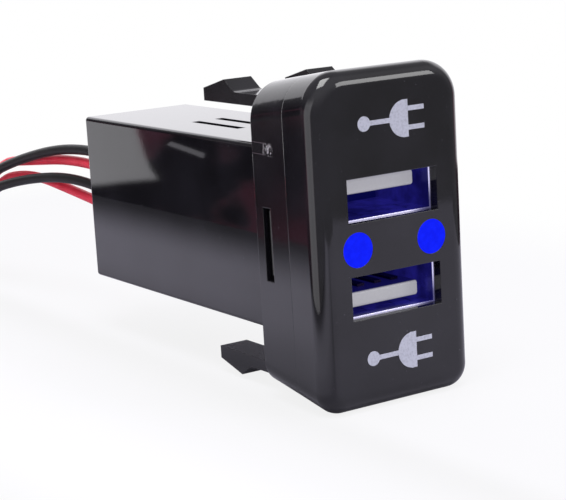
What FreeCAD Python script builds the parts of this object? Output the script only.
"""A dual USB charging socket that snaps into a blank switch opening of a car's dashboard.

Millimetres. X runs to the right as seen from the front, Y runs back into the dashboard and Z runs up. The
origin is the centre of the mount collar's back face, which seats on the ledge behind the dashboard opening.
"""

import FreeCAD, Part
import Sketcher
import math
import os
import re

Vector = FreeCAD.Vector

# Driving sizes, each written once.
SIZES = [
    # Outline of the front, and the depth behind it.
    ("bezel_rise", 8.25, "bezel's upper and lower ends beyond the rear case's"),
    ("bezel_depth", 6.1, "bezel, front face to the seam"),
    ("collar_depth", 6.7, "collar, seam to the seat"),
    ("case_depth", 46.1, "rear case, seat to its back wall"),
    ("seat_drop", 1.6, "how much each end of the collar narrows towards the seat"),
    ("side_draft", 0.2, "how much each side of the collar narrows towards the seat"),
    ("top_corner", 4.4, "outline radius of the upper corners"),
    ("bottom_corner", 2.8, "outline radius of the lower corners"),
    ("edge_round", 2.0, "rounding of the bezel's front edge"),
    ("brow_depth", 2.1, "bezel's straight front part, along Y"),
    # Moulded walls and the clearances between pieces.
    ("skirt_wall", 1.5, "side walls of bezel and collar"),
    ("face_wall", 1.3, "bezel's front wall"),
    ("seat_plate", 1.6, "collar's back plate"),
    ("spigot_depth", 2.6, "how far the collar's spigot enters the bezel"),
    ("spigot_wall", 1.0, "spigot's wall"),
    ("ledge_depth", 1.2, "ledge that carries the spigot, along Y"),
    ("fit_gap", 0.1, "clearance between pieces that fit together"),
    ("bead_height", 0.3, "snap bead on the spigot"),
    ("bead_length", 9.0, "snap bead along X"),
    # The group of sockets, lamps and case sits a little below the bezel's centre.
    ("core_drop", 0.65, "centre of the socket group below the bezel's centre"),
    ("case_side_gap", 0.45, "clearance between a socket and the case's side wall"),
    ("case_top_gap", 1.65, "clearance between a socket and the case's top or bottom wall"),
    ("collar_gap", 0.6, "clearance between the case's side and the collar's"),
    ("case_wall", 1.2, "rear case's side walls"),
    ("case_back", 1.3, "rear case's back wall"),
    ("case_corner", 0.5, "rounding of the rear case's long edges"),
    # Snap arms that hold the collar behind the panel.
    ("arm_start", 3.98, "snap arm's inner side from the middle"),
    ("arm_width", 3.87, "snap arm along X"),
    ("arm_drop", 1.0, "snap arm's outer face inside the seat's edge"),
    ("arm_thick", 1.4, "snap arm's thickness"),
    ("arm_reach", 14.0, "snap arm's length behind the seat"),
    ("barb_foot", 7.1, "foot of the barb's locking face behind the seat"),
    ("barb_ridge", 9.2, "ridge of the barb behind the seat"),
    ("barb_height", 1.4, "barb above the arm"),
    ("barb_nose", 0.15, "arm's end above the arm's outer face"),
    ("arm_root", 0.5, "gusset under the arm's root"),
    # Latch windows in the collar's sides, and the case's hooks in them.
    ("window_length", 1.6, "latch window along Y"),
    ("window_height", 8.6, "latch window along Z"),
    ("hook_height", 7.6, "latch hook along Z"),
    ("hook_bite", 0.8, "latch hook in the window"),
    ("hook_ramp", 3.2, "latch hook along Y"),
    ("gate_height", 1.3, "moulding gate mark on the collar's side, along Z"),
    ("gate_length", 2.6, "moulding gate mark along Y"),
    ("gate_depth", 0.15, "moulding gate mark's depth"),
    ("gate_place", 11.1, "moulding gate mark above the core"),
    # Vents in the case's top, and the holes for the leads.
    ("vent_width", 1.2, "vent slot along X"),
    ("vent_length", 11.3, "vent slot along Y"),
    ("vent_spread", 3.5, "vent slots, middle to middle"),
    ("vent_start", 15.7, "front end of the vent slots behind the seat"),
    # Sockets for the plug of a charging lead.
    ("plug_width", 12.0, "plug that the socket takes, side to side"),
    ("plug_height", 4.5, "plug that the socket takes, top to bottom"),
    ("plug_gap", 0.15, "clearance round the plug in the shell"),
    ("rim_reveal", 0.1, "how far the shell's rim shows inside the bezel's opening"),
    ("sheet", 0.3, "sheet metal of the shells and contacts"),
    ("shell_length", 13.5, "shell along Y"),
    ("tongue_inset", 0.45, "tongue's side inside the plug's"),
    ("tongue_thick", 1.84, "tongue, top to bottom"),
    ("tongue_round", 0.4, "radius on the tongue's edges"),
    ("tongue_offset", 1.0, "tongue's centre from the socket's centre, away from the board"),
    ("tongue_depth", 3.4, "tongue's tip behind the bezel's front face"),
    ("block_depth", 3.0, "insulating block at the back of the shell"),
    ("contact_width", 1.0, "contact strip along X"),
    ("contact_pitch", 2.4, "contact strips, middle to middle"),
    ("contact_setback", 2.0, "contact strips behind the tongue's tip"),
    ("finger_length", 5.0, "spring finger in the shell"),
    ("finger_width", 2.0, "spring finger along X"),
    ("finger_cut", 0.4, "cut round a spring finger"),
    ("finger_place", 3.2, "spring fingers from the middle"),
    # Indicator lamps between the sockets.
    ("lamp_inset", 5.25, "lamp's middle from the bezel's side"),
    ("lens_gap", 0.2, "clearance between a lens's rim and the sockets"),
    ("lens_radius", 2.0, "indicator lens"),
    ("lens_rim", 2.6, "radius of the lens's rim behind the bezel"),
    ("lens_rim_depth", 0.6, "lens's rim along Y"),
    ("led_radius", 1.5, "flat-topped light-emitting diode"),
    ("led_length", 4.4, "light-emitting diode along Y"),
    ("led_rim", 1.7, "radius of the diode's rim"),
    ("led_rim_depth", 0.8, "diode's rim along Y"),
    ("leg_thick", 0.5, "diode's legs"),
    ("leg_length", 2.6, "diode's legs along Y"),
    # Circuit board and what stands on it.
    ("board_gap", 0.2, "clearance between the board's edge and the case's wall"),
    ("board_thick", 1.6, "circuit board, top to bottom"),
    ("board_front", 6.0, "circuit board's front edge ahead of the seat"),
    ("rail_width", 0.7, "board rails out from the case's side walls"),
    ("rail_height", 0.8, "board rails along Z"),
    ("rail_start", 5.0, "front end of the board rails behind the seat"),
    ("riser_inset", 0.2, "riser's side inside the plug's"),
    ("riser_front", 3.0, "riser's front face ahead of the seat"),
    ("capacitor_radius", 3.15, "larger can capacitor"),
    ("capacitor_height", 7.0, "larger can capacitor"),
    ("filter_radius", 2.5, "smaller can capacitor"),
    ("filter_height", 7.0, "smaller can capacitor"),
    ("can_inset", 0.65, "can capacitors from the board's edge"),
    ("can_place", 8.5, "larger can capacitor behind the seat"),
    ("filter_place", 16.0, "smaller can capacitor behind the seat"),
    ("can_bevel", 0.4, "bevel of a can's top edge"),
    ("choke_radius", 4.0, "inductor's flanges"),
    ("choke_post", 1.8, "inductor's post"),
    ("choke_height", 5.0, "inductor, board to top"),
    ("choke_place", 27.0, "inductor behind the seat"),
    ("choke_flange", 0.9, "inductor's flanges along Z"),
    ("winding_radius", 3.4, "inductor's winding"),
    ("chip_length", 4.9, "converter chip along Y"),
    ("chip_width", 3.9, "converter chip along X"),
    ("chip_height", 1.5, "converter chip along Z"),
    ("chip_place", 14.0, "converter chip behind the seat"),
    ("pin_pitch", 1.27, "chip's pins"),
    ("pin_width", 0.4, "a chip's pin along Y"),
    ("pin_reach", 1.0, "a chip's pin out from its body"),
    ("pin_thick", 0.25, "a chip's pin along Z"),
    ("diode_length", 4.3, "rectifier diode along Y"),
    ("diode_width", 2.6, "rectifier diode along X"),
    ("diode_height", 2.2, "rectifier diode along Z"),
    ("diode_place", 24.0, "rectifier diode behind the seat"),
    ("fuse_length", 3.2, "fuse along Y"),
    ("fuse_width", 1.6, "fuse along X"),
    ("fuse_height", 0.9, "fuse along Z"),
    ("fuse_place", 32.0, "fuse behind the seat"),
    ("bead_width", 5.0, "potting bead along X"),
    ("bead_depth", 2.5, "potting bead along Y"),
    ("bead_tall", 12.4, "potting bead along Z"),
    # Leads.
    ("lead_thick", 1.5, "lead's insulation, outside diameter"),
    ("lead_pair", 2.9, "middle of a pair of leads above or below the core"),
    ("lead_pitch", 2.3, "leads of a pair, middle to middle"),
    ("lane_pitch", 1.6, "leads side by side in the coil"),
    ("coil_across", -13.5, "coil's centre along X"),
    ("coil_back", 66.9, "coil's centre behind the rear case"),
    ("coil_turn", 8.0, "radius of the coil's outer turns"),
    ("coil_inner_turn", 6.4, "radius of the coil's inner turns"),
    ("coil_entry", 6.0, "where the leads join the coil, ahead of its centre"),
    ("tie_width", 2.5, "tie round the coil, along the turns"),
    ("tie_thick", 0.6, "tie's strap"),
]
ALIASES = {alias for alias, value, meaning in SIZES}

doc = FreeCAD.newDocument("dual_usb_socket")
sheet = doc.addObject("Spreadsheet::Sheet", "Sizes")
for row, (alias, value, meaning) in enumerate(SIZES, start=1):
    sheet.set("A%d" % row, meaning)
    sheet.set("B%d" % row, str(value))
    sheet.setAlias("B%d" % row, alias)
doc.recompute()


def size(alias):
    """A driving size as a number."""
    return float(sheet.get(alias))


def formula(text):
    """An expression over the sheet: each alias in the text gets the sheet's name."""
    return re.sub(
        r"[a-z_]+",
        lambda word: "Sizes." + word.group(0) if word.group(0) in ALIASES else word.group(0),
        text,
    )


def measure(text):
    """The number that a formula on the sheet comes to."""
    sheet.set("D1", "=" + text)
    sheet.recompute()
    return float(sheet.get("D1"))


# Places that several pieces share, as formulas on the sheet. With the sizes above, the bezel is 20.8 wide and
# 38.6 tall, the case is 16.2 wide and 22.1 tall, and the whole is 58.9 deep.
FRONT = "(-collar_depth - bezel_depth)"
SEAM = "(-collar_depth)"
FACE_BACK = "(%s + face_wall)" % FRONT
CORE = "(-core_drop)"
PLUG_HALF_WIDTH = "(plug_width / 2)"
SHELL_HALF_WIDTH = "(plug_width / 2 + plug_gap + sheet)"
SHELL_HALF_HEIGHT = "(plug_height / 2 + plug_gap + sheet)"
SHELL_BACK = "(%s + shell_length)" % FACE_BACK
SOCKET = "(%s + lens_rim + lens_gap)" % SHELL_HALF_HEIGHT
TONGUE_TIP = "(%s + tongue_depth)" % FRONT
TONGUE_HALF_WIDTH = "(plug_width / 2 - tongue_inset)"
CASE_INSIDE_WIDTH = "(%s + case_side_gap)" % SHELL_HALF_WIDTH
CASE_HALF_WIDTH = "(%s + case_wall)" % CASE_INSIDE_WIDTH
CASE_INSIDE_HEIGHT = "(%s + %s + case_top_gap)" % (SOCKET, SHELL_HALF_HEIGHT)
CASE_HALF_HEIGHT = "(%s + case_wall)" % CASE_INSIDE_HEIGHT
CASE_INSIDE_BACK = "(case_depth - case_back)"
CASE_NOSE = "(-collar_depth + ledge_depth + fit_gap)"
COLLAR_INSIDE = "(%s + collar_gap)" % CASE_HALF_WIDTH
SEAT_HALF_WIDTH = "(%s + skirt_wall)" % COLLAR_INSIDE
SEAM_HALF_WIDTH = "(%s + side_draft / 2)" % SEAT_HALF_WIDTH
BEZEL_HALF_WIDTH = "(%s + side_draft)" % SEAT_HALF_WIDTH
BEZEL_HALF_HEIGHT = "(%s + bezel_rise)" % CASE_HALF_HEIGHT
SEAT_HALF_HEIGHT = "(%s - seat_drop)" % BEZEL_HALF_HEIGHT
FLARE = "(seat_drop / (collar_depth + bezel_depth - brow_depth))"
SEAM_HALF_HEIGHT = "(%s + %s * collar_depth)" % (SEAT_HALF_HEIGHT, FLARE)
CAVITY_HALF_WIDTH = "(%s - skirt_wall)" % SEAM_HALF_WIDTH
CAVITY_HALF_HEIGHT = "(%s - skirt_wall)" % SEAM_HALF_HEIGHT
SPIGOT_HALF_WIDTH = "(%s - fit_gap)" % CAVITY_HALF_WIDTH
SPIGOT_HALF_HEIGHT = "(%s - fit_gap)" % CAVITY_HALF_HEIGHT
COLLAR_INSIDE_HEIGHT = "(%s - skirt_wall)" % SEAT_HALF_HEIGHT
LAMP = "(%s - lamp_inset)" % BEZEL_HALF_WIDTH
BOARD_TOP = "(%s + board_thick / 2)" % CORE
BOARD_BOTTOM = "(%s - board_thick / 2)" % CORE
BOARD_HALF_WIDTH = "(%s - board_gap)" % CASE_INSIDE_WIDTH
BOARD_BACK = "(%s - bead_depth)" % CASE_INSIDE_BACK
LANE_HALF = "(lane_pitch * 1.5 + lead_thick / 2)"
COIL_BOTTOM = "(-%s + tie_thick)" % BEZEL_HALF_HEIGHT
COIL_CENTRE = "(case_depth + coil_back)"

nodes = []


def keep(made, name):
    """Names a finished piece, which is written out under that name."""
    made.Label = name
    nodes.append(made)
    return made


def body(name):
    return doc.addObject("PartDesign::Body", name)


def sketch_on(owner, role, offset="0"):
    """A sketch on one of the body's origin planes, moved along the plane's normal."""
    plane = next(p for p in owner.Origin.OriginFeatures if p.Role == role)
    made = owner.newObject("Sketcher::SketchObject", "Sketch")
    made.AttachmentSupport = [(plane, "")]
    made.MapMode = "FlatFace"
    made.setExpression("AttachmentOffset.Base.z", formula(offset))
    return made


def front_sketch(owner, depth):
    """A sketch seen from the front, at a depth along Y. The plane's own normal points forwards."""
    return sketch_on(owner, "XZ_Plane", "-(%s)" % depth)


def pin(sketch, kind, edge, point, start, text):
    """Ties one coordinate of a sketch's point to a formula, from the value it is drawn with."""
    number = sketch.addConstraint(Sketcher.Constraint(kind, -1, 1, edge, point, start))
    sketch.setExpression("Constraints[%d]" % number, formula(text))


def outline(sketch, points):
    """A closed outline whose corners lie at pairs of formulas, drawn at first as a regular polygon."""
    first = sketch.GeometryCount
    count = len(points)
    drawn = []
    for i in range(count):
        turn = 2 * math.pi * (i + 0.3) / count
        drawn.append(Vector(10 * math.cos(turn), 10 * math.sin(turn), 0))
    for i in range(count):
        sketch.addGeometry(Part.LineSegment(drawn[i], drawn[(i + 1) % count]))
    for i in range(count):
        sketch.addConstraint(
            Sketcher.Constraint("Coincident", first + i, 2, first + (i + 1) % count, 1)
        )
    for i, (across, up) in enumerate(points):
        pin(sketch, "DistanceX", first + i, 1, drawn[i].x, across)
        pin(sketch, "DistanceY", first + i, 1, drawn[i].y, up)


def rectangle(sketch, left, right, bottom, top):
    outline(sketch, [(left, bottom), (right, bottom), (right, top), (left, top)])


def circle(sketch, across, up, radius):
    """A circle in a sketch, centre and radius at formulas."""
    number = sketch.addGeometry(Part.Circle(Vector(5, 5, 0), Vector(0, 0, 1), 3))
    pin(sketch, "DistanceX", number, 3, 5, across)
    pin(sketch, "DistanceY", number, 3, 5, up)
    tied = sketch.addConstraint(Sketcher.Constraint("Radius", number, 3))
    sketch.setExpression("Constraints[%d]" % tied, formula(radius))


def pad(owner, sketch, length, backwards=True):
    """Extrudes a sketch; backwards means towards +Y for a front sketch."""
    made = owner.newObject("PartDesign::Pad", "Pad")
    made.Profile = sketch
    made.setExpression("Length", formula(length))
    made.Reversed = backwards
    doc.recompute()
    return made


def pocket(owner, sketch, length, forwards=False):
    """Cuts a sketch away; a front sketch is cut towards +Y, or towards -Y if forwards."""
    before = owner.Shape.Volume
    made = owner.newObject("PartDesign::Pocket", "Pocket")
    made.Profile = sketch
    made.setExpression("Length", formula(length))
    made.Reversed = forwards
    doc.recompute()
    if owner.Shape.Volume > before - 1e-6:
        raise RuntimeError("a pocket of %s removed nothing" % owner.Name)
    return made


def mirrored(owner, features, role="YZ_Plane"):
    """Repeats features on the other side of one of the body's origin planes."""
    made = owner.newObject("PartDesign::Mirrored", "Mirrored")
    made.Originals = features
    plane = next(p for p in owner.Origin.OriginFeatures if p.Role == role)
    made.MirrorPlane = (plane, [""])
    owner.Tip = made
    doc.recompute()
    return made


def round_edges(owner, test, radius, kind="PartDesign::Fillet"):
    """Rounds the body's edges for which the test on the edge's centre and direction holds."""
    base = owner.Tip
    found = []
    for number, edge in enumerate(base.Shape.Edges, start=1):
        way = edge.tangentAt(edge.FirstParameter)
        if test(edge.CenterOfMass, way, edge):
            found.append("Edge%d" % number)
    if not found:
        raise RuntimeError("no edge to round on %s" % owner.Name)
    made = owner.newObject(kind, "Round")
    made.Base = (base, found)
    made.setExpression("Radius" if kind.endswith("Fillet") else "Size", formula(radius))
    doc.recompute()
    return made


def block(name, left, right, front, back, bottom, top):
    """A box between two faces each way, each face at its own formula."""
    made = doc.addObject("Part::Box", name)
    made.setExpression("Length", formula("(%s) - (%s)" % (right, left)))
    made.setExpression("Width", formula("(%s) - (%s)" % (back, front)))
    made.setExpression("Height", formula("(%s) - (%s)" % (top, bottom)))
    made.setExpression("Placement.Base.x", formula(left))
    made.setExpression("Placement.Base.y", formula(front))
    made.setExpression("Placement.Base.z", formula(bottom))
    return made


def rod(name, radius, across, front, back, up):
    """A cylinder along Y between two depths."""
    made = doc.addObject("Part::Cylinder", name)
    made.Placement = FreeCAD.Placement(Vector(0, 0, 0), FreeCAD.Rotation(Vector(1, 0, 0), -90))
    made.setExpression("Radius", formula(radius))
    made.setExpression("Height", formula("(%s) - (%s)" % (back, front)))
    made.setExpression("Placement.Base.x", formula(across))
    made.setExpression("Placement.Base.y", formula(front))
    made.setExpression("Placement.Base.z", formula(up))
    return made


def column(name, radius, across, along, bottom, top):
    """A cylinder along Z between two heights."""
    made = doc.addObject("Part::Cylinder", name)
    made.setExpression("Radius", formula(radius))
    made.setExpression("Height", formula("(%s) - (%s)" % (top, bottom)))
    made.setExpression("Placement.Base.x", formula(across))
    made.setExpression("Placement.Base.y", formula(along))
    made.setExpression("Placement.Base.z", formula(bottom))
    return made


def fused(name, pieces):
    made = doc.addObject("Part::MultiFuse", name)
    made.Shapes = pieces
    return made


def cut(name, base, tool):
    made = doc.addObject("Part::Cut", name)
    made.Base = base
    made.Tool = tool
    return made


def group(name, pieces):
    """Separate solids of one kind in one piece."""
    made = doc.addObject("Part::Compound", name)
    made.Links = pieces
    return made


def lies_along(way, axis):
    """Whether a direction lies mostly along an axis."""
    return abs(way.normalize().dot(axis)) > 0.9


def front_bezel():
    """The glossy cover: one moulding with a rounded front, two plug openings and two lamp holes."""
    made = body("front_bezel")
    shoulder = "(%s + brow_depth)" % FRONT
    seam = front_sketch(made, SEAM)
    rectangle(
        seam,
        "-" + SEAM_HALF_WIDTH,
        SEAM_HALF_WIDTH,
        "-" + SEAM_HALF_HEIGHT,
        SEAM_HALF_HEIGHT,
    )
    widest = front_sketch(made, shoulder)
    rectangle(
        widest, "-" + BEZEL_HALF_WIDTH, BEZEL_HALF_WIDTH, "-" + BEZEL_HALF_HEIGHT, BEZEL_HALF_HEIGHT
    )
    doc.recompute()
    flank = made.newObject("PartDesign::AdditiveLoft", "Flank")
    flank.Profile = seam
    flank.Sections = [widest]
    flank.Ruled = True
    doc.recompute()
    brow = front_sketch(made, shoulder)
    rectangle(
        brow, "-" + BEZEL_HALF_WIDTH, BEZEL_HALF_WIDTH, "-" + BEZEL_HALF_HEIGHT, BEZEL_HALF_HEIGHT
    )
    pad(made, brow, "brow_depth", backwards=False)
    corner_edges(made)
    front = measure(FRONT)
    round_edges(
        made,
        lambda middle, way, edge: abs(middle.y - front) < 1e-3,
        "edge_round",
    )
    hollow = front_sketch(made, SEAM)
    rectangle(
        hollow,
        "-" + CAVITY_HALF_WIDTH,
        CAVITY_HALF_WIDTH,
        "-" + CAVITY_HALF_HEIGHT,
        CAVITY_HALF_HEIGHT,
    )
    pocket(made, hollow, "bezel_depth - face_wall", forwards=True)
    openings = front_sketch(made, FRONT)
    for side in ("+", "-"):
        middle = "(%s %s %s)" % (CORE, side, SOCKET)
        half = "(plug_height / 2 + plug_gap + rim_reveal)"
        rectangle(
            openings,
            "-plug_width / 2 - plug_gap - rim_reveal",
            "plug_width / 2 + plug_gap + rim_reveal",
            "%s - %s" % (middle, half),
            "%s + %s" % (middle, half),
        )
    pocket(made, openings, "face_wall * 2")
    lamps = front_sketch(made, FRONT)
    for side in ("-", ""):
        circle(lamps, side + LAMP, CORE, "lens_radius")
    pocket(made, lamps, "face_wall * 2")
    grooves = sketch_on(made, "YZ_Plane", "-bead_length / 2 - fit_gap")
    for side in ("", "-"):
        wall = side + CAVITY_HALF_HEIGHT
        depth = "(bead_height + fit_gap)" if side == "" else "(-bead_height - fit_gap)"
        start = "(%s - spigot_depth / 2)" % SEAM
        inset = "(-0.1)" if side == "" else "0.1"
        outline(
            grooves,
            [
                ("%s - bead_height * 2" % start, "%s + %s" % (wall, inset)),
                ("%s + bead_height * 2" % start, "%s + %s" % (wall, inset)),
                (start, "%s + %s" % (wall, depth)),
            ],
        )
    pocket(made, grooves, "bead_length + fit_gap * 2", forwards=True)
    return keep(made, "front_bezel")


def corner_edges(made):
    """Rounds the four long corners of a bezel or collar, the lower ones less than the upper."""
    round_edges(
        made,
        lambda middle, way, edge: lies_along(way, Vector(0, 1, 0)) and middle.z > 0,
        "top_corner",
    )
    round_edges(
        made,
        lambda middle, way, edge: lies_along(way, Vector(0, 1, 0)) and middle.z < 0,
        "bottom_corner",
    )


def mount_collar():
    """The black frame behind the bezel, with the plate that seats on the dashboard's ledge and four snap arms."""
    made = body("mount_collar")
    seat = front_sketch(made, "0")
    rectangle(
        seat, "-" + SEAT_HALF_WIDTH, SEAT_HALF_WIDTH, "-" + SEAT_HALF_HEIGHT, SEAT_HALF_HEIGHT
    )
    seam = front_sketch(made, SEAM)
    rectangle(
        seam,
        "-" + SEAM_HALF_WIDTH,
        SEAM_HALF_WIDTH,
        "-" + SEAM_HALF_HEIGHT,
        SEAM_HALF_HEIGHT,
    )
    doc.recompute()
    flank = made.newObject("PartDesign::AdditiveLoft", "Flank")
    flank.Profile = seat
    flank.Sections = [seam]
    flank.Ruled = True
    doc.recompute()
    corner_edges(made)
    spigot = front_sketch(made, SEAM)
    rectangle(
        spigot,
        "-" + SPIGOT_HALF_WIDTH,
        SPIGOT_HALF_WIDTH,
        "-" + SPIGOT_HALF_HEIGHT,
        SPIGOT_HALF_HEIGHT,
    )
    pad(made, spigot, "spigot_depth", backwards=False)
    mouth = front_sketch(made, "%s - spigot_depth" % SEAM)
    rectangle(
        mouth,
        "-%s + spigot_wall" % SPIGOT_HALF_WIDTH,
        "%s - spigot_wall" % SPIGOT_HALF_WIDTH,
        "-%s + spigot_wall" % SPIGOT_HALF_HEIGHT,
        "%s - spigot_wall" % SPIGOT_HALF_HEIGHT,
    )
    pocket(made, mouth, "spigot_depth + ledge_depth")
    chamber = front_sketch(made, "-seat_plate")
    rectangle(
        chamber,
        "-" + COLLAR_INSIDE,
        COLLAR_INSIDE,
        "-" + COLLAR_INSIDE_HEIGHT,
        COLLAR_INSIDE_HEIGHT,
    )
    pocket(made, chamber, "collar_depth - ledge_depth - seat_plate", forwards=True)
    passage = front_sketch(made, "-seat_plate - 1")
    rectangle(
        passage,
        "-%s - fit_gap" % CASE_HALF_WIDTH,
        "%s + fit_gap" % CASE_HALF_WIDTH,
        "%s - %s - fit_gap" % (CORE, CASE_HALF_HEIGHT),
        "%s + %s + fit_gap" % (CORE, CASE_HALF_HEIGHT),
    )
    pocket(made, passage, "seat_plate + 2")
    windows = sketch_on(made, "YZ_Plane", "-%s * 2" % BEZEL_HALF_WIDTH)
    rectangle(
        windows,
        "-seat_plate - window_length",
        "-seat_plate",
        "%s - window_height / 2" % CORE,
        "%s + window_height / 2" % CORE,
    )
    pocket(made, windows, "%s * 4" % BEZEL_HALF_WIDTH, forwards=True)
    beads = sketch_on(made, "YZ_Plane", "-bead_length / 2")
    for side in ("", "-"):
        wall = side + SPIGOT_HALF_HEIGHT
        height = "bead_height" if side == "" else "(-bead_height)"
        start = "(%s - spigot_depth / 2)" % SEAM
        outline(
            beads,
            [
                ("%s - bead_height * 1.5" % start, wall),
                ("%s + bead_height * 1.5" % start, wall),
                (start, "%s + %s" % (wall, height)),
            ],
        )
    pad(made, beads, "bead_length", backwards=False)
    arms = sketch_on(made, "YZ_Plane", "arm_start")
    for sign in ("+", "-"):
        outer = "%s %s (%s - arm_drop)" % (CORE, sign, SEAT_HALF_HEIGHT)
        inner = "%s %s -arm_thick" % (outer, sign)
        outline(
            arms,
            [
                ("0", "%s %s -arm_root" % (inner, sign)),
                ("0", outer),
                ("barb_foot", outer),
                ("barb_ridge", "%s %s barb_height" % (outer, sign)),
                ("arm_reach", "%s %s barb_nose" % (outer, sign)),
                ("arm_reach", inner),
                ("arm_root", inner),
            ],
        )
    arm_pad = pad(made, arms, "arm_width", backwards=False)
    mirrored(made, [arm_pad])
    foot = size("barb_foot")
    round_edges(
        made,
        lambda middle, way, edge: abs(middle.y - foot) < 1e-3
        and lies_along(way, Vector(1, 0, 0)),
        "arm_thick",
    )
    gate = sketch_on(made, "YZ_Plane", "-%s" % SEAT_HALF_WIDTH)
    rectangle(
        gate,
        "-gate_length",
        "0",
        "%s + gate_place - gate_height / 2" % CORE,
        "%s + gate_place + gate_height / 2" % CORE,
    )
    pocket(made, gate, "gate_depth", forwards=True)
    return keep(made, "mount_collar")


def rear_case():
    """The deep box behind the collar, open at the front, with latch hooks, board rails and vents."""
    made = body("rear_case")
    nose = front_sketch(made, CASE_NOSE)
    rectangle(
        nose,
        "-" + CASE_HALF_WIDTH,
        CASE_HALF_WIDTH,
        "%s - %s" % (CORE, CASE_HALF_HEIGHT),
        "%s + %s" % (CORE, CASE_HALF_HEIGHT),
    )
    pad(made, nose, "case_depth - %s" % CASE_NOSE)
    back = size("case_depth")
    round_edges(
        made,
        lambda middle, way, edge: lies_along(way, Vector(0, 1, 0)) or abs(middle.y - back) < 1e-3,
        "case_corner",
    )
    hollow = front_sketch(made, CASE_NOSE)
    rectangle(
        hollow,
        "-" + CASE_INSIDE_WIDTH,
        CASE_INSIDE_WIDTH,
        "%s - %s" % (CORE, CASE_INSIDE_HEIGHT),
        "%s + %s" % (CORE, CASE_INSIDE_HEIGHT),
    )
    pocket(made, hollow, "case_depth - case_back - %s" % CASE_NOSE)
    rails = front_sketch(made, "rail_start")
    for across in ("-1", "1"):
        wall = "%s * %s" % (across, CASE_INSIDE_WIDTH)
        edge = "%s * (%s - rail_width)" % (across, CASE_INSIDE_WIDTH)
        for near, far in (
            ("%s + fit_gap" % BOARD_TOP, "%s + fit_gap + rail_height" % BOARD_TOP),
            ("%s - fit_gap - rail_height" % BOARD_BOTTOM, "%s - fit_gap" % BOARD_BOTTOM),
        ):
            left, right = (wall, edge) if across == "-1" else (edge, wall)
            rectangle(rails, left, right, near, far)
    pad(made, rails, "%s - rail_start" % CASE_INSIDE_BACK)
    hooks = sketch_on(made, "XY_Plane", "%s - hook_height / 2" % CORE)
    catch = "(-seat_plate - fit_gap)"
    outline(
        hooks,
        [
            ("%s - case_wall / 2" % CASE_HALF_WIDTH, "%s - hook_ramp" % catch),
            (CASE_HALF_WIDTH, "%s - hook_ramp" % catch),
            ("%s - fit_gap" % COLLAR_INSIDE, "%s - window_length + fit_gap" % catch),
            ("%s + hook_bite" % COLLAR_INSIDE, catch),
            ("%s - case_wall / 2" % CASE_HALF_WIDTH, catch),
        ],
    )
    hook_pad = pad(made, hooks, "hook_height", backwards=False)
    mirrored(made, [hook_pad])
    vents = sketch_on(made, "XY_Plane", "%s + %s - case_wall" % (CORE, CASE_INSIDE_HEIGHT))
    for side in ("-", ""):
        middle = "(%svent_spread / 2)" % side
        rectangle(
            vents,
            "%s - vent_width / 2" % middle,
            "%s + vent_width / 2" % middle,
            "vent_start",
            "vent_start + vent_length",
        )
    pocket(made, vents, "case_wall * 3", forwards=True)
    outlets = front_sketch(made, CASE_INSIDE_BACK)
    for row in lead_rows():
        circle(outlets, "0", row, "lead_thick / 2 + fit_gap")
    pocket(made, outlets, "case_back * 2")
    return keep(made, "rear_case")


def lead_rows():
    """The heights of the four leads where they leave the case, from the top down."""
    return [
        "%s + lead_pair + lead_pitch / 2" % CORE,
        "%s + lead_pair - lead_pitch / 2" % CORE,
        "%s - lead_pair + lead_pitch / 2" % CORE,
        "%s - lead_pair - lead_pitch / 2" % CORE,
    ]


def socket_shell(name, sign):
    """A folded steel shell round one socket, with spring fingers and four legs that stand on the board."""
    made = body(name)
    middle = "(%s %s %s)" % (CORE, sign, SOCKET)
    skin = front_sketch(made, FACE_BACK)
    rectangle(
        skin,
        "-" + SHELL_HALF_WIDTH,
        SHELL_HALF_WIDTH,
        "%s - %s" % (middle, SHELL_HALF_HEIGHT),
        "%s + %s" % (middle, SHELL_HALF_HEIGHT),
    )
    pad(made, skin, "shell_length")
    round_edges(
        made, lambda place, way, edge: lies_along(way, Vector(0, 1, 0)), "sheet * 1.6"
    )
    inside = front_sketch(made, FACE_BACK)
    rectangle(
        inside,
        "-%s + sheet" % SHELL_HALF_WIDTH,
        "%s - sheet" % SHELL_HALF_WIDTH,
        "%s - %s + sheet" % (middle, SHELL_HALF_HEIGHT),
        "%s + %s - sheet" % (middle, SHELL_HALF_HEIGHT),
    )
    pocket(made, inside, "shell_length")
    fingers = sketch_on(made, "XY_Plane", "%s - plug_height" % middle)
    finger_start = "(%s + sheet * 6)" % FACE_BACK
    for side in ("-", ""):
        centre = "(%sfinger_place)" % side
        outline(
            fingers,
            [
                ("%s - finger_width / 2 - finger_cut" % centre, finger_start),
                ("%s + finger_width / 2 + finger_cut" % centre, finger_start),
                ("%s + finger_width / 2 + finger_cut" % centre, "%s + finger_length" % finger_start),
                ("%s + finger_width / 2" % centre, "%s + finger_length" % finger_start),
                ("%s + finger_width / 2" % centre, "%s + finger_cut" % finger_start),
                ("%s - finger_width / 2" % centre, "%s + finger_cut" % finger_start),
                ("%s - finger_width / 2" % centre, "%s + finger_length" % finger_start),
                ("%s - finger_width / 2 - finger_cut" % centre, "%s + finger_length" % finger_start),
            ],
        )
    pocket(made, fingers, "plug_height * 2", forwards=True)
    legs = sketch_on(made, "YZ_Plane", "%s - sheet" % SHELL_HALF_WIDTH)
    board = "%s %s board_thick / 2" % (CORE, sign)
    wall = "%s %s -1 * (%s - sheet * 2)" % (middle, sign, SHELL_HALF_HEIGHT)
    for start in ("(-riser_front + 1.0)", "(%s - 2.2)" % SHELL_BACK):
        low, high = (board, wall) if sign == "+" else (wall, board)
        rectangle(legs, start, "%s + 1.2" % start, low, high)
    leg_pad = pad(made, legs, "sheet", backwards=False)
    mirrored(made, [leg_pad])
    return keep(made, name)


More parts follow.
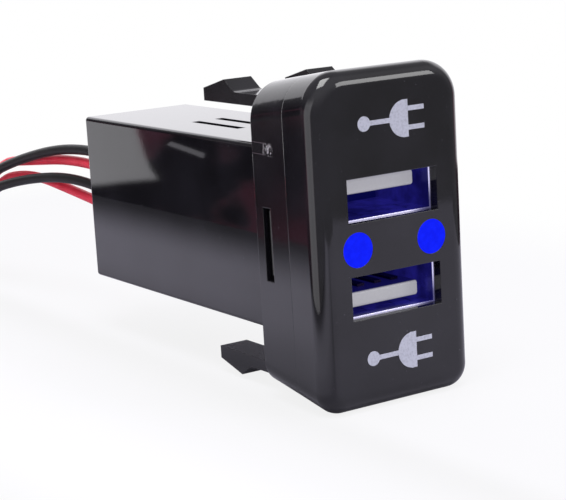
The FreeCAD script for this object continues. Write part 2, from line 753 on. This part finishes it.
def socket_inside(place, sign):
    """The block at the back of a socket, its tongue, the four contacts and the riser under the shell."""
    middle = "(%s %s %s)" % (CORE, sign, SOCKET)
    tongue_middle = "(%s %s tongue_offset)" % (middle, sign)
    low = "%s - tongue_thick / 2" % tongue_middle
    high = "%s + tongue_thick / 2" % tongue_middle
    block_front = "(%s - block_depth)" % SHELL_BACK
    tongue = doc.addObject("Part::Fillet", place + "_socket_tongue")
    bar = block(
        place + "_tongue_bar", "-" + TONGUE_HALF_WIDTH, TONGUE_HALF_WIDTH, TONGUE_TIP, SHELL_BACK, low, high
    )
    doc.recompute()
    tongue.Base = bar
    tip = bar.Shape.BoundBox.YMin
    tongue.Edges = [
        (number, size("tongue_round"), size("tongue_round"))
        for number, edge in enumerate(bar.Shape.Edges, start=1)
        if abs(edge.CenterOfMass.y - tip) < 1e-3
        or abs(edge.Length - bar.Shape.BoundBox.YLength) < 1e-3
    ]
    keep(tongue, place + "_socket_tongue")
    solid_block = block(
        place + "_block_solid",
        "-plug_width / 2 - plug_gap",
        "plug_width / 2 + plug_gap",
        block_front,
        SHELL_BACK,
        "%s - plug_height / 2 - plug_gap" % middle,
        "%s + plug_height / 2 + plug_gap" % middle,
    )
    slot = block(
        place + "_block_slot",
        "-" + TONGUE_HALF_WIDTH,
        TONGUE_HALF_WIDTH,
        "%s - 1" % block_front,
        "%s + 1" % SHELL_BACK,
        low,
        high,
    )
    strips = []
    cuts = [slot]
    inner = low if sign == "+" else high
    board = "%s %s board_thick / 2" % (CORE, sign)
    for i in range(4):
        across = "(contact_pitch * %s)" % (i - 1.5)
        left = "%s - contact_width / 2" % across
        right = "%s + contact_width / 2" % across
        other = "%s - sheet" % inner if sign == "+" else "%s + sheet" % inner
        bottom, top = (other, inner) if sign == "+" else (inner, other)
        strip = block(
            "%s_strip_%d" % (place, i),
            left,
            right,
            "%s + contact_setback" % TONGUE_TIP,
            "%s + sheet * 2" % SHELL_BACK,
            bottom,
            top,
        )
        tail_low, tail_high = (board, top) if sign == "+" else (bottom, board)
        tail = block(
            "%s_tail_%d" % (place, i),
            left,
            right,
            "%s + sheet" % SHELL_BACK,
            "%s + sheet * 2" % SHELL_BACK,
            tail_low,
            tail_high,
        )
        strips.append(fused("%s_contact_%d" % (place, i), [strip, tail]))
        cuts.append(
            block(
                "%s_groove_%d" % (place, i),
                left,
                right,
                "%s - 1" % block_front,
                "%s + 1" % SHELL_BACK,
                bottom,
                top,
            )
        )
    keep(group(place + "_socket_contacts", strips), place + "_socket_contacts")
    keep(
        cut(place + "_socket_block", solid_block, fused(place + "_block_cuts", cuts)),
        place + "_socket_block",
    )
    shell_side = "%s %s -1 * %s" % (middle, sign, SHELL_HALF_HEIGHT)
    riser_low, riser_high = (board, shell_side) if sign == "+" else (shell_side, board)
    keep(
        block(
            place + "_socket_riser",
            "-%s + riser_inset" % PLUG_HALF_WIDTH,
            "%s - riser_inset" % PLUG_HALF_WIDTH,
            "-riser_front",
            SHELL_BACK,
            riser_low,
            riser_high,
        ),
        place + "_socket_riser",
    )


def indicator(place, side):
    """One lamp: the lens in the bezel, the diode behind it and the diode's two legs on the board."""
    across = "(%s%s)" % (side, LAMP)
    window = rod(place + "_lens_window", "lens_radius", across, FRONT, FACE_BACK, CORE)
    rim_back = "(%s + lens_rim_depth)" % FACE_BACK
    rim = rod(place + "_lens_rim", "lens_rim", across, FACE_BACK, rim_back, CORE)
    keep(fused(place + "_indicator_lens", [window, rim]), place + "_indicator_lens")
    led_back = "(%s + led_length)" % rim_back
    barrel = rod(place + "_led_barrel", "led_radius", across, "%s + fit_gap" % rim_back, led_back, CORE)
    foot = rod(
        place + "_led_foot", "led_rim", across, "%s - led_rim_depth" % led_back, led_back, CORE
    )
    keep(fused(place + "_led", [barrel, foot]), place + "_led")
    legs = []
    for name, low in (
        ("upper", BOARD_TOP),
        ("lower", "%s - leg_thick" % BOARD_BOTTOM),
    ):
        legs.append(
            block(
                "%s_led_%s_leg" % (place, name),
                "%s - leg_thick / 2" % across,
                "%s + leg_thick / 2" % across,
                led_back,
                "%s + leg_length" % led_back,
                low,
                "%s + leg_thick" % low,
            )
        )
    return legs


def can(name, radius, height, side, along):
    """A can capacitor near one edge of the board's upper side, with a bevelled top edge."""
    across = "%s(%s - can_inset - %s)" % (side, BOARD_HALF_WIDTH, radius)
    plain = column(name + "_can", radius, across, along, BOARD_TOP, "%s + %s" % (BOARD_TOP, height))
    doc.recompute()
    made = doc.addObject("Part::Chamfer", name)
    made.Base = plain
    top = plain.Shape.BoundBox.ZMax
    made.Edges = [
        (number, size("can_bevel"), size("can_bevel"))
        for number, edge in enumerate(plain.Shape.Edges, start=1)
        if abs(edge.CenterOfMass.z - top) < 1e-3
    ]
    return keep(made, name)


def inductor():
    """The choke coil: a ferrite drum that stands on the board, and the winding between its flanges."""
    along = "choke_place"
    top = "%s + choke_height" % BOARD_TOP
    lower = column("choke_lower", "choke_radius", "0", along, BOARD_TOP, "%s + choke_flange" % BOARD_TOP)
    upper = column("choke_upper", "choke_radius", "0", along, "%s - choke_flange" % top, top)
    post = column("choke_post_rod", "choke_post", "0", along, BOARD_TOP, top)
    keep(fused("inductor_core", [lower, upper, post]), "inductor_core")
    ring = column(
        "winding_ring",
        "winding_radius",
        "0",
        along,
        "%s + choke_flange" % BOARD_TOP,
        "%s - choke_flange" % top,
    )
    bore = column("winding_bore", "choke_post", "0", along, BOARD_TOP, top)
    keep(cut("inductor_winding", ring, bore), "inductor_winding")


def converter_chip():
    """The converter on the board's underside: a moulded body with four pins on each side."""
    pieces = [
        block(
            "chip_body",
            "-chip_width / 2",
            "chip_width / 2",
            "chip_place - chip_length / 2",
            "chip_place + chip_length / 2",
            "%s - chip_height - pin_thick / 2" % BOARD_BOTTOM,
            "%s - pin_thick / 2" % BOARD_BOTTOM,
        )
    ]
    for i in range(4):
        along = "(chip_place + pin_pitch * %s)" % (i - 1.5)
        pieces.append(
            block(
                "chip_pin_%d" % i,
                "-chip_width / 2 - pin_reach",
                "chip_width / 2 + pin_reach",
                "%s - pin_width / 2" % along,
                "%s + pin_width / 2" % along,
                "%s - pin_thick" % BOARD_BOTTOM,
                BOARD_BOTTOM,
            )
        )
    keep(fused("converter_chip", pieces), "converter_chip")


def under_board(name, place):
    """A small box-shaped component soldered to the board's underside, sized by its own three values."""
    return keep(
        block(
            name,
            "-%s_width / 2" % place,
            "%s_width / 2" % place,
            "%s_place - %s_length / 2" % (place, place),
            "%s_place + %s_length / 2" % (place, place),
            "%s - %s_height" % (BOARD_BOTTOM, place),
            BOARD_BOTTOM,
        ),
        name,
    )


def circuit_board():
    return keep(
        block(
            "circuit_board",
            "-" + BOARD_HALF_WIDTH,
            BOARD_HALF_WIDTH,
            "-board_front",
            BOARD_BACK,
            BOARD_BOTTOM,
            BOARD_TOP,
        ),
        "circuit_board",
    )


def lead_potting():
    """The bead that grips the four leads behind the case's back wall and holds the board's end."""
    return keep(
        block(
            "lead_potting",
            "-bead_width / 2",
            "bead_width / 2",
            BOARD_BACK,
            CASE_INSIDE_BACK,
            "%s - bead_tall / 2" % CORE,
            "%s + bead_tall / 2" % CORE,
        ),
        "lead_potting",
    )


def tube(points, radius):
    """A plain twelve-sided solid along straight runs and tangent arcs, each arc as large as its runs allow.

    The first run lies along Y. Twelve flat sides keep the leads light beside the moulded pieces.
    """
    start = points[0]
    corners = []
    for i in range(13):
        turn = math.radians(30 * i)
        corners.append(start + Vector(math.cos(turn), 0, math.sin(turn)) * radius)
    section = Part.Face(Part.makePolygon(corners))
    area = section.Area
    stretches = []
    radii = []
    length = 0
    for before, corner, after in zip(points, points[1:], points[2:]):
        back = before - corner
        on = after - corner
        trim = 0.45 * min(back.Length, on.Length)
        turn = math.pi - back.getAngle(on)
        radii.append(trim / math.tan(turn / 2))
        enter = corner + Vector(back).normalize() * trim
        run = enter - start
        stretches.append(section.extrude(run))
        section.translate(run)
        inwards = Vector(back).normalize() + Vector(on).normalize()
        centre = corner + inwards.normalize() * (radii[-1] / math.cos(turn / 2))
        axis = on.cross(back).normalize()
        stretches.append(section.revolve(centre, axis, math.degrees(turn)))
        section.rotate(centre, axis, math.degrees(turn))
        start = corner + Vector(on).normalize() * trim
        length += run.Length + radii[-1] * turn
    run = points[-1] - start
    stretches.append(section.extrude(run))
    solid = stretches[0].fuse(stretches[1:])
    length += run.Length
    return solid, length, solid.Volume / (area * length), min(radii)


def lead(name, lane, row, points):
    """One lead, from the potting bead straight out of the case, by points behind the case to the coil.

    The points are chosen by hand and count from the middle of the case's back.
    """
    radius = size("lead_thick") / 2
    outlet = Vector(0, measure(CASE_INSIDE_BACK), measure(row))
    end = Vector(
        size("coil_across") + size("coil_turn"),
        measure(COIL_CENTRE) - size("coil_entry"),
        measure(COIL_BOTTOM) + radius + lane * size("lane_pitch"),
    )
    back = Vector(0, size("case_depth"), measure(CORE))
    route = [outlet, outlet + Vector(0, 9, 0)]
    route += [back + Vector(*point) for point in points]
    route += [end - Vector(0, 11 - lane, 0), end]
    solid, length, ratio, smallest = tube(route, radius)
    made = doc.addObject("Part::Feature", name)
    made.Shape = solid
    print(
        "%s: length %.1f mm, volume over section times length %.4f, smallest radius %.1f mm"
        % (name, length, ratio, smallest)
    )
    return keep(made, name)


def lead_coil():
    """The ring that the put-away length of the four leads fills, two turns of each, and where they join it."""
    made = body("lead_coil")
    ring = sketch_on(made, "XY_Plane", COIL_BOTTOM)
    circle(ring, "coil_across", COIL_CENTRE, "coil_turn + lead_thick / 2")
    circle(ring, "coil_across", COIL_CENTRE, "coil_inner_turn - lead_thick / 2")
    pad(made, ring, "%s * 2" % LANE_HALF, backwards=False)
    round_edges(made, lambda middle, way, edge: True, "lead_thick * 0.3", "PartDesign::Chamfer")
    entry = sketch_on(made, "XY_Plane", COIL_BOTTOM)
    rectangle(
        entry,
        "coil_across + coil_turn - lead_thick / 2",
        "coil_across + coil_turn + lead_thick / 2",
        "%s - coil_entry" % COIL_CENTRE,
        COIL_CENTRE,
    )
    pad(made, entry, "%s * 2" % LANE_HALF, backwards=False)
    return keep(made, "lead_coil")


def lead_tie():
    """A strap round the coil, on the side away from where the leads join it."""
    near = "(%s + coil_inner_turn - lead_thick / 2 - fit_gap * 1.5)" % COIL_CENTRE
    far = "(%s + coil_turn + lead_thick / 2)" % COIL_CENTRE
    top = "(%s + %s * 2)" % (COIL_BOTTOM, LANE_HALF)
    strap = block(
        "tie_strap",
        "coil_across - tie_width / 2",
        "coil_across + tie_width / 2",
        "%s - tie_thick" % near,
        "%s + tie_thick" % far,
        "%s - tie_thick" % COIL_BOTTOM,
        "%s + tie_thick" % top,
    )
    hole = block(
        "tie_hole",
        "coil_across - tie_width",
        "coil_across + tie_width",
        near,
        far,
        COIL_BOTTOM,
        top,
    )
    return keep(cut("lead_tie", strap, hole), "lead_tie")


front_bezel()
mount_collar()
rear_case()
for place, sign in (("upper", "+"), ("lower", "-")):
    socket_shell(place + "_socket_shell", sign)
    socket_inside(place, sign)
legs = indicator("left", "-") + indicator("right", "")
keep(group("led_legs", legs), "led_legs")
circuit_board()
can("input_capacitor", "capacitor_radius", "capacitor_height", "-", "can_place")
can("output_capacitor", "filter_radius", "filter_height", "", "filter_place")
inductor()
converter_chip()
under_board("rectifier_diode", "diode")
under_board("input_fuse", "fuse")
lead_potting()
rows = lead_rows()
lead("red_lead_upper", 3, rows[1], [(-0.8, 19.9, 2.45), (-1.7, 31.9, 1.25), (-2.8, 42.6, 0.2)])
lead("black_lead_upper", 2, rows[0], [(-1.5, 19.9, 4.35), (-3.4, 31.9, 1.85), (-5.4, 42.4, -1.75)])
lead("red_lead_lower", 1, rows[3], [(-1.0, 18.9, -2.35), (-2.3, 31.4, -0.55), (-3.6, 42.2, -2.6)])
lead("black_lead_lower", 0, rows[2], [(-1.9, 17.9, 0.15), (-4.3, 29.4, -0.95), (-7.0, 40.4, -3.9)])
lead_coil()
lead_tie()
doc.recompute()

for item in doc.Objects:
    if "Invalid" in item.State or "Error" in item.State:
        raise RuntimeError("%s is %s" % (item.Label, item.State))
os.makedirs("parts", exist_ok=True)
for node in nodes:
    shape = node.Shape
    if shape.isNull() or not shape.isValid() or not shape.Solids:
        raise RuntimeError("%s has no sound solid" % node.Label)
    shape.exportStep(os.path.join("parts", node.Label + ".step"))
    box = shape.BoundBox
    print(
        "%-22s %2d solids  x %6.2f %6.2f  y %6.2f %6.2f  z %6.2f %6.2f"
        % (node.Label, len(shape.Solids), box.XMin, box.XMax, box.YMin, box.YMax, box.ZMin, box.ZMax)
    )
